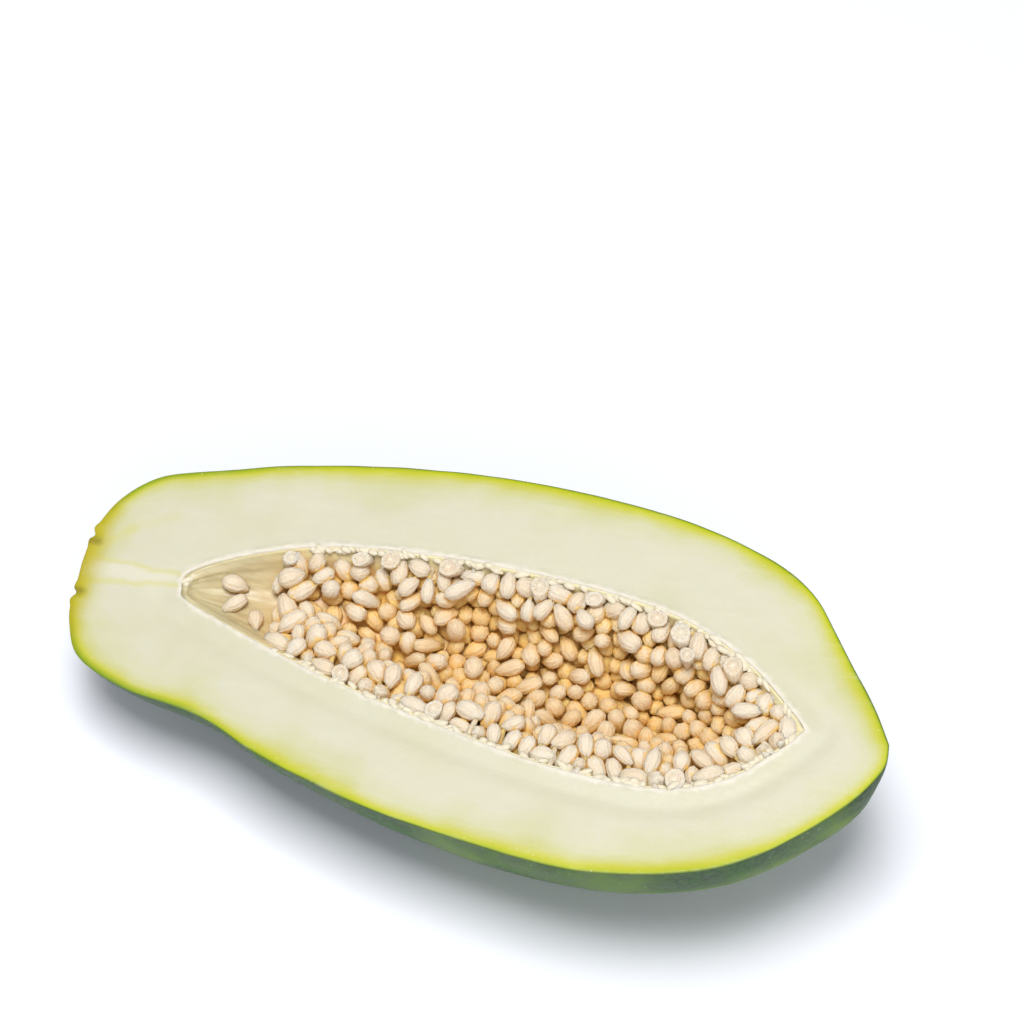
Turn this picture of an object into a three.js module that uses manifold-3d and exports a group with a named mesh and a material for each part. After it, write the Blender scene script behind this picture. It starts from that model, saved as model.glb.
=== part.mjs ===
// Half a green papaya, cut lengthwise by a knife and lying on its skin with the cut face up.
// Millimetres, +Z up. +X runs from the stem end to the blossom end, and -Y is the near side.
// The origin is under the middle of the half, on the surface that it lies on.
//
// The fruit is drawn with the cut face level at z = 0 first, and laid down at the end: its neck is
// shallow and its belly deep, so it leans a little towards the stem end until it balances.
import * as THREE from 'three'
import { mergeVertices } from 'three/addons/utils/BufferGeometryUtils.js'
import Module from 'manifold-3d'

const wasm = await Module()
wasm.setup()

// The edge of the cut face, from the middle of the stem scar to the blossom tip, as x and y.
const SKIN_BACK = [
  [-112.5, 8], [-112, 17.5], [-107.5, 29], [-98, 37.8], [-82, 42.6], [-60, 48], [-32, 52.4],
  [4, 53.5], [40, 51.1], [66, 44.6], [84, 35], [97, 18.8], [107, 4.6], [112.5, -5.6]
]
const SKIN_FRONT = [
  [-112.5, 8], [-111.6, -1.5], [-109.8, -10], [-104, -19.8], [-89, -26.4], [-66, -30.6], [-46, -38.9],
  [-16, -47.2], [17, -52.5], [45, -53.7], [70, -49.4], [88, -39.7], [104, -25], [112, -13],
  [112.5, -5.6]
]
// The lowest line of the skin under the cut face, as x and depth.
const SKIN_KEEL = [
  [-112.5, 0], [-112, 9.5], [-104, 19], [-85, 27], [-62, 35], [-34, 44.5], [0, 52.5],
  [28, 54.6], [54, 50.5], [76, 42.5], [94, 32], [107, 19.5], [112.5, 0]
]

// The same three lines of the hollow in the middle, where the seeds grow.
const HOLLOW_BACK = [
  [-82.1, 4.7], [-81.2, 10.8], [-66, 18.8], [-44, 25.1], [-15, 27.1], [18, 26],
  [50, 21.4], [72, 11.5], [87, -1], [91, -5.4]
]
const HOLLOW_FRONT = [
  [-82.1, 4.7], [-79, 1.6], [-58, -6.2], [-34, -14], [0, -22], [28, -27.2],
  [56, -28.3], [73, -23], [85, -12.7], [91, -5.4]
]
const HOLLOW_KEEL = [
  [-82.1, 0], [-79, 5], [-60, 11], [-30, 18.5], [5, 25.5], [40, 29], [66, 26.5], [83, 15.5], [91, 0]
]

const SKIN_RINGS = 40 // rings of facets from the stem end to the blossom end
const SKIN_SIDES = 40 // facets round the whole fruit
const HOLLOW_RINGS = 26
const HOLLOW_SIDES = 24
const BED_FACETS = 16 // rings and sides of the lining's inner face, which the seeds cover

// How round the fruit is across: 2 is an ellipse, and more fills the sides out below the cut face.
const ELLIPSE = 2
const BELLY_ROUND = 2.4
const BELLY_START = 0.35 // share of the length where the neck has become the belly
const LOBES = 5
const LOBE_HEIGHT = 0.012 // the low ridges along the skin, as a share of its radius
const LOBE_FADE = 3 // rings at each end over which the ridges rise

const ROOM = 400 // side of the blocks of air over the cut face and of table under the half
const WELD = 1e-4 // points nearer than this are one point
const LEAN = 7 // degrees that the stem end hangs down once the half lies on its belly
const FLAT_TRIM = 1.3 // depth of skin that is pressed flat where it lies

const GAP = 0.35 // clearance between the flesh and the lining of the hollow
const LINING = 1.7 // thickness of the soft lining that the seeds grow from
const LINING_DROP = 0.5 // the lining's rim stands this far under the cut face

// Seeds, each in its coat. They are a little wider than life and fewer, and still cover the wall.
const SEED_LENGTH = 9.4
const SEED_WIDTH = 7
const SEED_SIDES = 5
const SEED_BANDS = 3
const SEED_PITCH = 7.3 // distance from one seed to the next along and across the wall
const SEED_ROOT = 1.4 // how deep a seed is sunk into what it grows from
const LEAST_SLOPE = 0.7 // how steeply a seed's long axis stands off the wall, as rise over run
const MOST_SLOPE = 1.6
const JITTER = 0.3 // how far a seed strays from its place in the row, as a share of the pitch
const BARE_END = 0.12 // share of the hollow's length, at the stem end, with no seeds
const SECOND_LAYER = 0.06 // share of places with another seed on top
const SECOND_RISE = 5.2 // height of that seed above the first
const LOOSE_DEPTH = 1.2 // a seed whose middle is nearer the cut face than this fell out
const NUDGE = 0.05 // a small step along the wall or round it, to read which way it runs

const WHITE_FLESH = new THREE.MeshStandardMaterial({ color: 0xe6e4c2, roughness: 0.45, metalness: 0 })
const CREAM_SEED = new THREE.MeshStandardMaterial({ color: 0xf0dfc4, roughness: 0.4, metalness: 0 })

// The same seed of chance gives the same fruit each time.
let chance = 20261
function random () {
  chance = (chance * 1664525 + 1013904223) % 4294967296
  return chance / 4294967296
}

// Evenly spaced points along a smooth line through the given points.
function evenPoints (points, count) {
  const line = new THREE.SplineCurve(points.map(([x, y]) => new THREE.Vector2(x, y)))
  return line.getSpacedPoints(count)
}

// A body between three lines: its front edge, its back edge and its keel. Ring by ring, a rounded
// section goes from the back edge through the keel to the front edge, and mirrored above.
// The result gives the point of its surface at a ring and an angle, moved inwards by the inset.
function ovoid ({ front, back, keel, rings, inset = 0, bellyRound = ELLIPSE, lobe = 0 }) {
  const [fronts, backs, keels] = [front, back, keel].map(points => evenPoints(points, rings))
  const start = front[0][0]
  const end = front[front.length - 1][0]
  const middle = (start + end) / 2
  const shorter = 1 - 2 * inset / (end - start)
  return (ring, angle) => {
    const before = Math.min(Math.floor(ring), rings - 1)
    const [f, b, k] = [fronts, backs, keels].map(
      points => points[before].clone().lerp(points[before + 1], ring - before)
    )
    const centre = new THREE.Vector3((f.x + b.x) / 2, (f.y + b.y) / 2, 0)
    const across = new THREE.Vector3(b.x, b.y, 0).sub(centre)
    const down = new THREE.Vector3(k.x, centre.y, -k.y).sub(centre)
    for (const arm of [across, down]) arm.multiplyScalar(arm.length() / (arm.length() + inset + WELD))
    const belly = THREE.MathUtils.smoothstep(ring / rings, 0, BELLY_START)
    const power = 2 / THREE.MathUtils.lerp(ELLIPSE, bellyRound, belly)
    const rounded = value => Math.sign(value) * Math.abs(value) ** power
    const fade = Math.min(1, ring / LOBE_FADE, (rings - ring) / LOBE_FADE)
    const swell = 1 - lobe * fade * Math.sin(LOBES * angle)
    const point = centre
      .addScaledVector(across, rounded(Math.cos(angle)) * swell)
      .addScaledVector(down, rounded(Math.sin(angle)) * swell)
    point.x = middle + (point.x - middle) * shorter
    return point
  }
}

// A sphere's vertices moved onto such a body.
function ovoidGeometry (at, rings, sides) {
  const geometry = new THREE.SphereGeometry(1, sides, rings)
  const position = geometry.attributes.position
  for (let index = 0; index < position.count; index++) {
    const step = Math.floor(index / (sides + 1))
    const side = index % (sides + 1) % sides
    const point = at(step, (2 * Math.PI * side) / sides)
    position.setXYZ(index, point.x, point.y, point.z)
  }
  return geometry
}

function toSolid (geometry) {
  const bare = geometry.clone()
  bare.deleteAttribute('normal')
  bare.deleteAttribute('uv')
  const merged = mergeVertices(bare, WELD)
  return new wasm.Manifold(new wasm.Mesh({
    numProp: 3,
    vertProperties: new Float32Array(merged.attributes.position.array),
    triVerts: new Uint32Array(merged.index.array)
  }))
}

function toGeometry (solid) {
  const mesh = solid.getMesh()
  const geometry = new THREE.BufferGeometry()
  geometry.setAttribute('position', new THREE.BufferAttribute(mesh.vertProperties, 3))
  geometry.setIndex(new THREE.BufferAttribute(mesh.triVerts, 1))
  return geometry
}

// Everything under a level plane, down to the table and beyond.
function under (height) {
  return toSolid(new THREE.BoxGeometry(ROOM, ROOM, ROOM).translate(0, 0, height - ROOM / 2))
}

const skinAt = ovoid({
  front: SKIN_FRONT,
  back: SKIN_BACK,
  keel: SKIN_KEEL,
  rings: SKIN_RINGS,
  bellyRound: BELLY_ROUND,
  lobe: LOBE_HEIGHT
})
const hollowAt = (inset, rings) => ovoid({
  front: HOLLOW_FRONT,
  back: HOLLOW_BACK,
  keel: HOLLOW_KEEL,
  rings,
  inset
})
function hollowSolid (inset, rings, sides) {
  return toSolid(ovoidGeometry(hollowAt(inset, rings), rings, sides))
}
const cutFace = under(0)

// The flesh and its green skin: one piece, as grown, without the hollow.
function makeFlesh () {
  const fruit = toSolid(ovoidGeometry(skinAt, SKIN_RINGS, SKIN_SIDES))
  return fruit.intersect(cutFace).subtract(hollowSolid(0, HOLLOW_RINGS, HOLLOW_SIDES))
}

// One seed with its middle at a point, and its long axis along a direction.
function makeSeed (middle, direction) {
  const seed = new THREE.SphereGeometry(1, SEED_SIDES, SEED_BANDS)
  seed.rotateY(random() * Math.PI)
  seed.scale(SEED_WIDTH / 2, SEED_LENGTH / 2, SEED_WIDTH / 2)
  const turn = new THREE.Quaternion().setFromUnitVectors(new THREE.Vector3(0, 1, 0), direction)
  return toSolid(seed.applyQuaternion(turn).translate(middle.x, middle.y, middle.z))
}

// The seeds in one place of the wall: one that leans any way, and now and then another on top.
function growSeeds (wallAt, ring, angle) {
  const root = wallAt(ring, angle)
  const ahead = wallAt(ring + NUDGE, angle).sub(root).normalize()
  const around = wallAt(ring, angle + NUDGE).sub(root).normalize()
  const inwards = new THREE.Vector3().crossVectors(around, ahead).normalize()
  const heading = random() * Math.PI * 2
  const slope = THREE.MathUtils.lerp(LEAST_SLOPE, MOST_SLOPE, random())
  const direction = inwards.clone().multiplyScalar(slope)
    .addScaledVector(ahead, Math.cos(heading))
    .addScaledVector(around, Math.sin(heading)).normalize()
  const height = THREE.MathUtils.lerp(SEED_WIDTH, SEED_LENGTH, slope / MOST_SLOPE) / 2 - SEED_ROOT
  const middles = [root.addScaledVector(inwards, height)]
  if (random() < SECOND_LAYER) middles.push(root.clone().addScaledVector(inwards, SECOND_RISE))
  return middles.filter(middle => middle.z < -LOOSE_DEPTH).map(middle => makeSeed(middle, direction))
}

// The lining of the hollow with the seeds that grow from it, row after row, from rim to rim. Every
// second row is staggered by half a place.
function makeSeedBed () {
  const wallAt = hollowAt(GAP + LINING, BED_FACETS)
  const rows = Math.round((HOLLOW_KEEL.at(-1)[0] - HOLLOW_KEEL[0][0]) / SEED_PITCH)
  const seeds = []
  for (let row = Math.ceil(BARE_END * rows); row < rows; row++) {
    const ring = (row + 0.5) / rows * BED_FACETS
    const quarters = [0, 1, 2, 3, 4].map(quarter => wallAt(ring, Math.PI * quarter / 4))
    const girth = new THREE.CatmullRomCurve3(quarters).getLength()
    const places = Math.max(1, Math.round(girth / SEED_PITCH))
    for (let place = 0; place < places; place++) {
      const stray = JITTER * (random() - 0.5)
      const angle = Math.PI * (place + 0.25 + (row % 2) / 2 + stray) / places
      seeds.push(...growSeeds(wallAt, ring + JITTER * (random() - 0.5), angle))
    }
  }
  const outside = hollowSolid(GAP, HOLLOW_RINGS, HOLLOW_SIDES)
  const inside = hollowSolid(GAP + LINING, BED_FACETS, BED_FACETS)
  const lining = outside.intersect(under(-LINING_DROP)).subtract(inside)
  const grown = wasm.Manifold.union([lining, ...seeds]).intersect(outside).intersect(cutFace)
  const pieces = grown.decompose().sort((one, other) => other.volume() - one.volume())
  return pieces[0]
}

function mesh (name, solid, material) {
  const piece = new THREE.Mesh(toGeometry(solid), material)
  piece.name = name
  return piece
}

// The half leans until it balances. The table presses a small flat spot where it touches.
const half = new THREE.Group()
half.rotation.y = -THREE.MathUtils.degToRad(LEAN)
half.updateMatrixWorld()
const round = makeFlesh()
const lowest = new THREE.Box3().setFromObject(
  new THREE.Mesh(toGeometry(round).applyMatrix4(half.matrixWorld)), true).min.z
const overTable = new THREE.BoxGeometry(ROOM, ROOM, ROOM)
  .translate(0, 0, lowest + FLAT_TRIM + ROOM / 2)
  .applyMatrix4(half.matrixWorld.clone().invert())
const flesh = mesh('flesh_and_skin', round.intersect(toSolid(overTable)), WHITE_FLESH)
const seedBed = mesh('seed_bed', makeSeedBed(), CREAM_SEED)
half.add(flesh, seedBed)

// The origin goes under the middle of the half.
const box = new THREE.Box3().setFromObject(half, true)
half.position.set(-(box.min.x + box.max.x) / 2, -(box.min.y + box.max.y) / 2, -box.min.z)

export default half
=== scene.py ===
# %% [markdown]
# Half a green papaya
#
# This lesson dresses a plain solid model of half a papaya: a thin green skin, pale flesh that was cut
# by a knife, and a hollow full of soft cream seeds. The solid model is loaded first and never changes.
# Every piece made here is as large as the solid it stands for, and lies in the same place.
#
# All sizes are in metres. +X runs from the stem end to the blossom end, -Y is the near side and +Z
# is up, with the table at z = 0.

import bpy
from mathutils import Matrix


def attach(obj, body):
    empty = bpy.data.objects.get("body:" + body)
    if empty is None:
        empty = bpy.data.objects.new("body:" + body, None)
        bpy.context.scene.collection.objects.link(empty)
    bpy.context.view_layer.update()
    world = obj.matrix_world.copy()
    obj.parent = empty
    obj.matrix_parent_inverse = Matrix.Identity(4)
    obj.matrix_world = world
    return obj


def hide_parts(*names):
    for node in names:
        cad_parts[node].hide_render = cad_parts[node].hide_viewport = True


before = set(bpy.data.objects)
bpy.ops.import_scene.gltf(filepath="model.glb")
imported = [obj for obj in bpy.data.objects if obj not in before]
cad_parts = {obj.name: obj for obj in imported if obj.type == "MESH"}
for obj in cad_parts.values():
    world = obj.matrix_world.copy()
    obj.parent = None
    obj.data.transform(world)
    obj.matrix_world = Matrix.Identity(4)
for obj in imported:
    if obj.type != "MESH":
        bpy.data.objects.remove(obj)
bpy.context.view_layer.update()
print("solid pieces:", len(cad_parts))

# %% [markdown]
# The camera
#
# The photograph looks down on the cut face, a little from the right. A long lens, 100 mm here, keeps
# the two ends of the fruit nearly the same scale, as in a studio picture. The camera is placed by the
# direction that it looks from, and that direction is turned into a rotation by to_track_quat.

# %% Place the camera
import math

import bpy
from mathutils import Vector

LENS = 100.0
AZIMUTH = math.radians(13.617)
ELEVATION = math.radians(62.367)
DISTANCE = 0.770
AIM = Vector((0.00117, 0.04398, 0.05049))

backwards = Vector((
    math.sin(AZIMUTH) * math.cos(ELEVATION),
    -math.cos(AZIMUTH) * math.cos(ELEVATION),
    math.sin(ELEVATION),
))
camera = bpy.data.objects.new("camera", bpy.data.cameras.new("camera"))
camera.data.lens = LENS
camera.location = AIM + backwards * DISTANCE
camera.rotation_mode = "QUATERNION"
camera.rotation_quaternion = (-backwards).to_track_quat("-Z", "Y")
bpy.context.scene.collection.objects.link(camera)
bpy.context.scene.camera = camera
print("camera at", [round(value, 3) for value in camera.location])

# %% [markdown]
# The lines that the fruit is drawn from
#
# A fruit has no straight edges to measure, so it is drawn by a few smooth lines: the back and front
# edges of the cut face, and the keel, which is the lowest line of the skin under it. The hollow in the
# middle has the same three lines. They are the lines that the solid model was built from, drawn with
# the cut face level at z = 0, because a level fruit is easier to think about than one that leans.

# %% Skin and hollow lines
SKIN_BACK = [
    (-0.1125, 0.008), (-0.112, 0.0175), (-0.1075, 0.029), (-0.098, 0.0378), (-0.082, 0.0426),
    (-0.06, 0.048), (-0.032, 0.0524), (0.004, 0.0535), (0.04, 0.0511), (0.066, 0.0446),
    (0.084, 0.035), (0.097, 0.0188), (0.107, 0.0046), (0.1125, -0.0056),
]
SKIN_FRONT = [
    (-0.1125, 0.008), (-0.1116, -0.0015), (-0.1098, -0.01), (-0.104, -0.0198), (-0.089, -0.0264),
    (-0.066, -0.0306), (-0.046, -0.0389), (-0.016, -0.0472), (0.017, -0.0525), (0.045, -0.0537),
    (0.07, -0.0494), (0.088, -0.0397), (0.104, -0.025), (0.112, -0.013), (0.1125, -0.0056),
]
SKIN_KEEL = [
    (-0.1125, 0.0), (-0.112, 0.0095), (-0.104, 0.019), (-0.085, 0.027), (-0.062, 0.035),
    (-0.034, 0.0445), (0.0, 0.0525), (0.028, 0.0546), (0.054, 0.0505), (0.076, 0.0425),
    (0.094, 0.032), (0.107, 0.0195), (0.1125, 0.0),
]
HOLLOW_BACK = [
    (-0.0821, 0.0047), (-0.0812, 0.0108), (-0.066, 0.0188), (-0.044, 0.0251), (-0.015, 0.0271),
    (0.018, 0.026), (0.05, 0.0214), (0.072, 0.0115), (0.087, -0.001), (0.091, -0.0054),
]
HOLLOW_FRONT = [
    (-0.0821, 0.0047), (-0.079, 0.0016), (-0.058, -0.0062), (-0.034, -0.014), (0.0, -0.022),
    (0.028, -0.0272), (0.056, -0.0283), (0.073, -0.023), (0.085, -0.0127), (0.091, -0.0054),
]
HOLLOW_KEEL = [
    (-0.0821, 0.0), (-0.079, 0.005), (-0.06, 0.011), (-0.03, 0.0185), (0.005, 0.0255),
    (0.04, 0.029), (0.066, 0.0265), (0.083, 0.0155), (0.091, 0.0),
]
print("the half is", SKIN_KEEL[-1][0] - SKIN_KEEL[0][0], "m long")

# %% A smooth line through points
import bisect

STEPS_PER_SPAN = 40


def smooth_line(points):
    """A smooth line through the points: gives its point at a share of its length, from 0 to 1."""
    spots = [Vector(point) for point in points]
    fine = [spots[0]]
    for index in range(len(spots) - 1):
        before, start, end = spots[max(index - 1, 0)], spots[index], spots[index + 1]
        after = spots[min(index + 2, len(spots) - 1)]
        leave, arrive = (end - before) / 2, (after - start) / 2
        for step in range(1, STEPS_PER_SPAN + 1):
            t = step / STEPS_PER_SPAN
            cubic = (2 * start - 2 * end + leave + arrive) * t ** 3
            square = (-3 * start + 3 * end - 2 * leave - arrive) * t ** 2
            fine.append(cubic + square + leave * t + start)
    reached = [0.0]
    for one, other in zip(fine, fine[1:]):
        reached.append(reached[-1] + (other - one).length)

    def at(share):
        wanted = share * reached[-1]
        index = min(max(bisect.bisect_left(reached, wanted), 1), len(fine) - 1)
        part = (wanted - reached[index - 1]) / (reached[index] - reached[index - 1])
        return fine[index - 1].lerp(fine[index], part)

    return at


print("half way along the keel:", [round(value, 4) for value in smooth_line(SKIN_KEEL)(0.5)])

# %% [markdown]
# From lines to a rounded body
#
# Between the three lines the fruit is round, so each cross-section is part of an ellipse: from the back
# edge, down through the keel, to the front edge. The belly is a little fuller than an ellipse, which a
# power on the sine and cosine does, and the skin swells in five low ridges, as papayas do.
# The function gives one point for a place along the fruit and an angle round it. That is all that is
# needed to wrap a sphere onto it later.

# %% A rounded body between three lines
ELLIPSE = 2.0
BELLY_ROUND = 2.4
BELLY_START = 0.35
LOBES = 5
LOBE_HEIGHT = 0.012
LOBE_FADE = 0.075


def smooth_step(value, low, high):
    """0 below low, 1 above high, and an even curve between."""
    part = min(max((value - low) / (high - low), 0.0), 1.0)
    return part * part * (3 - 2 * part)


def rounded_body(front, back, keel, belly_round=ELLIPSE, lobe=0.0):
    """Gives the point of a body's surface at a share of its length and an angle from the back edge."""
    fronts, backs, keels = smooth_line(front), smooth_line(back), smooth_line(keel)
    start, end = front[0][0], front[-1][0]
    middle = (start + end) / 2

    def at(share, angle, inset=0.0):
        near, far, low = fronts(share), backs(share), keels(share)
        centre = Vector(((near.x + far.x) / 2, (near.y + far.y) / 2, 0.0))
        across = Vector((far.x, far.y, 0.0)) - centre
        down = Vector((low.x, centre.y, -low.y)) - centre
        if inset:
            across *= across.length / (across.length + inset)
            down *= down.length / (down.length + inset)
        power = 2 / (ELLIPSE + (belly_round - ELLIPSE) * smooth_step(share, 0.0, BELLY_START))
        fade = min(1.0, share / LOBE_FADE, (1 - share) / LOBE_FADE)
        swell = 1 - lobe * fade * math.sin(LOBES * angle)
        cosine, sine = math.cos(angle), math.sin(angle)
        point = (
            centre
            + across * math.copysign(abs(cosine) ** power, cosine) * swell
            + down * math.copysign(abs(sine) ** power, sine) * swell
        )
        point.x = middle + (point.x - middle) * (1 - 2 * inset / (end - start))
        return point

    return at


skin_at = rounded_body(SKIN_FRONT, SKIN_BACK, SKIN_KEEL, BELLY_ROUND, LOBE_HEIGHT)
hollow_at = rounded_body(HOLLOW_FRONT, HOLLOW_BACK, HOLLOW_KEEL)
print("skin half way along, on the keel side:", [round(v, 4) for v in skin_at(0.5, math.pi / 2)])

# %% [markdown]
# Laying the half down
#
# The neck is shallow and the belly deep, so a real half leans towards its stem until it balances. One
# matrix holds that lean and the lift onto the table. It is the last thing done to each mesh, so the
# objects themselves stay at the origin, unturned, which keeps patterns where they belong.

# %% The lean and the lift
from mathutils import Matrix

LEAN = math.radians(7)
RESTING_PLACE = Vector((-0.0001, 0.00017, 0.05033))

lay_down = Matrix.Translation(RESTING_PLACE) @ Matrix.Rotation(-LEAN, 4, "Y")
print("the blossom tip is at height", round((lay_down @ Vector((*SKIN_BACK[-1], 0.0))).z, 4))

# %% [markdown]
# Wrapping a sphere onto the body
#
# A sphere from bmesh already has clean rings and two poles, and its poles are where a fruit has its
# stem scar and its blossom tip. So each vertex is asked where it sits on the sphere, and is moved to
# that place on the fruit. Rings are crowded towards the stem end, where the scar needs fine detail.

# %% Wrap a sphere, and cut it by a knife
import bmesh

STEM_CROWDING = 1.25
ON_PLANE = 1e-6
COARSE = 24


def wrap_sphere(bm, surface_at, rings, sides):
    """Adds a sphere, moves its vertices onto a surface, and gives them."""
    verts = bmesh.ops.create_uvsphere(bm, u_segments=sides, v_segments=rings, radius=1.0)["verts"]
    for vert in verts:
        ring = round(math.acos(min(max(vert.co.z, -1.0), 1.0)) / math.pi * rings)
        vert.co = surface_at((ring / rings) ** STEM_CROWDING, math.atan2(vert.co.y, vert.co.x))
    return verts


def knife(bm, height):
    """Cuts away all that is above a level plane."""
    bmesh.ops.bisect_plane(
        bm,
        geom=[*bm.verts, *bm.edges, *bm.faces],
        dist=ON_PLANE,
        plane_co=(0.0, 0.0, height),
        plane_no=(0.0, 0.0, 1.0),
        clear_outer=True,
    )


def open_edges(bm):
    return [edge for edge in bm.edges if edge.is_boundary]


trial = bmesh.new()
wrap_sphere(trial, skin_at, COARSE, COARSE)
knife(trial, 0.0)
print("a coarse half has", len(trial.faces), "faces and an open edge of", len(open_edges(trial)))
trial.free()

# %% [markdown]
# The skin, with its scar and its unevenness
#
# A grown skin is never as even as a formula. Two sizes of smooth noise push it in and out by fractions
# of a millimetre: broad flats, which catch the light as long soft planes, and small dents. At the stem
# end the stalk has left a corky scar: a round groove with a raised lip inside the end of the neck. The
# same groove makes the two small notches where the knife crossed the scar.

# %% Skin relief
from mathutils import noise

FLATS_SIZE, FLATS_HEIGHT = 0.034, 0.00055
DENTS_SIZE, DENTS_HEIGHT = 0.009, 0.00013
SCAR_MIDDLE = Vector((-0.1125, 0.008, 0.0))
SCAR_GROOVE, GROOVE_WIDTH, GROOVE_DEPTH = 0.0092, 0.0010, 0.0011
SCAR_LIP, LIP_WIDTH, LIP_HEIGHT = 0.0114, 0.0012, 0.0005
SCAR_CORE, CORE_FLAT, CORE_SINK = 0.0078, 0.00468, 0.0006
SCAR_END = -0.100


def bell(value, middle, width):
    """A soft bump of height 1 round a middle."""
    return math.exp(-(((value - middle) / width) ** 2))


def scar_gap(point):
    """Distance from the middle of the scar, across the end of the neck."""
    return math.hypot(point.y - SCAR_MIDDLE.y, point.z - SCAR_MIDDLE.z)


def skin_relief(point):
    """How far the skin stands out at a point."""
    height = FLATS_HEIGHT * noise.noise(point / FLATS_SIZE)
    height += DENTS_HEIGHT * noise.noise(point / DENTS_SIZE)
    if point.x < SCAR_END:
        gap = scar_gap(point)
        height -= GROOVE_DEPTH * bell(gap, SCAR_GROOVE, GROOVE_WIDTH)
        height += LIP_HEIGHT * bell(gap, SCAR_LIP, LIP_WIDTH)
        height -= CORE_SINK * (1 - smooth_step(gap, CORE_FLAT, SCAR_CORE))
    return height


print("relief in the scar's groove:", round(skin_relief(SCAR_MIDDLE + Vector((0, 0, -SCAR_GROOVE))), 5))

# %% Make the skin
SKIN_RINGS = 220
SKIN_SIDES = 192

flesh_mesh = bmesh.new()
wrap_sphere(flesh_mesh, skin_at, SKIN_RINGS, SKIN_SIDES)
knife(flesh_mesh, 0.0)
flesh_mesh.normal_update()
skin_moves = []
for vert in flesh_mesh.verts:
    outwards = vert.normal.copy()
    if vert.is_boundary:
        outwards.z = 0.0
        outwards.normalize()
    skin_moves.append(outwards * skin_relief(vert.co))
for vert, move in zip(flesh_mesh.verts, skin_moves):
    vert.co += move
skin_edge = open_edges(flesh_mesh)
skin_faces = set(flesh_mesh.faces)
print("skin:", len(skin_faces), "faces, edge of", len(skin_edge))

# %% [markdown]
# The cut face
#
# The hollow is wrapped in the same way, with its faces turned inwards. Skin and hollow now have open
# edges with the same number of vertices, so bridge_loops can span the flesh between them, and
# subdivide_edges divides each long bridge into rows that the relief can move. This gives one closed
# body with no seam to hide, which two overlapping bodies would not.

# %% Add the hollow and bridge the cut face
HOLLOW_SIDES = 48
CUT_ROWS = 56


def faces_besides(bm, known):
    return [face for face in bm.faces if face not in known]


hollow_verts = wrap_sphere(flesh_mesh, hollow_at, SKIN_RINGS, HOLLOW_SIDES)
bmesh.ops.reverse_faces(flesh_mesh, faces=faces_besides(flesh_mesh, skin_faces))
upper = [vert for vert in hollow_verts if vert.co.z > ON_PLANE]
bmesh.ops.delete(flesh_mesh, geom=upper, context="VERTS")
wall_faces = set(faces_besides(flesh_mesh, skin_faces))
on_skin = set(skin_edge)
hollow_edge = [edge for edge in open_edges(flesh_mesh) if edge not in on_skin]
bmesh.ops.bridge_loops(flesh_mesh, edges=skin_edge + hollow_edge)
spans = set(faces_besides(flesh_mesh, skin_faces | wall_faces))
bridges = [edge for edge in flesh_mesh.edges if spans.issuperset(edge.link_faces)]
bmesh.ops.subdivide_edges(flesh_mesh, edges=bridges, cuts=CUT_ROWS)
cut_faces = faces_besides(flesh_mesh, skin_faces | wall_faces)
print("cut face:", len(cut_faces), "faces; hollow wall:", len(wall_faces), "faces")

# %% [markdown]
# How far is it to the skin?
#
# Everything that changes over the cut face does so with the distance to the skin or to the hollow: the
# colour, the raised rim round the seeds, the shallow trough outside it. So both distances are measured
# once for each vertex, with a KD-tree to find the nearest edges fast, and kept as attributes that a
# material can read. The trough and the rim are then real relief of a few tenths of a millimetre.

# %% Measure the distances
from mathutils import kdtree
from mathutils.geometry import intersect_point_line

NEAREST_EDGES = 5


def gauge(edges):
    """A function that gives a point's distance to the nearest of the edges."""
    ends = [[vert.co.copy() for vert in edge.verts] for edge in edges]
    tree = kdtree.KDTree(len(ends))
    for index, (one, other) in enumerate(ends):
        tree.insert((one + other) / 2, index)
    tree.balance()

    def gap(point):
        least = math.inf
        for _, index, _ in tree.find_n(point, NEAREST_EDGES):
            foot, part = intersect_point_line(point, *ends[index])
            if not 0 <= part <= 1:
                foot = ends[index][0 if part < 0 else 1]
            least = min(least, (point - foot).length)
        return least

    return gap


gap_to_skin, gap_to_hollow = gauge(skin_edge), gauge(hollow_edge)
from_skin = flesh_mesh.verts.layers.float.new("from_skin")
from_hollow = flesh_mesh.verts.layers.float.new("from_hollow")
on_cut = {vert for face in cut_faces for vert in face.verts}
for vert in on_cut:
    vert[from_skin] = gap_to_skin(vert.co)
    vert[from_hollow] = gap_to_hollow(vert.co)
print("widest flesh:", round(2 * max(min(v[from_skin], v[from_hollow]) for v in on_cut), 4))

# %% Relief of the cut face
RIM_MIDDLE, RIM_WIDTH, RIM_HEIGHT = 0.0006, 0.0008, 0.00026
TROUGH_MIDDLE, TROUGH_WIDTH, TROUGH_DEPTH = 0.0055, 0.0026, 0.00055
WAVE_SIZE, WAVE_HEIGHT = 0.032, 0.0004
GRAIN_SIZE, GRAIN_HEIGHT = 0.0032, 0.00004
LUMP_SIZE, LUMP_MEAN, LUMP_SPREAD = 0.0022, 0.8, 2.0
EDGE_ROUND, EDGE_DROP = 0.0007, 0.00025
INLAND = 0.004
NEAR_SIDE = (-0.012, 0.006)


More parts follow.
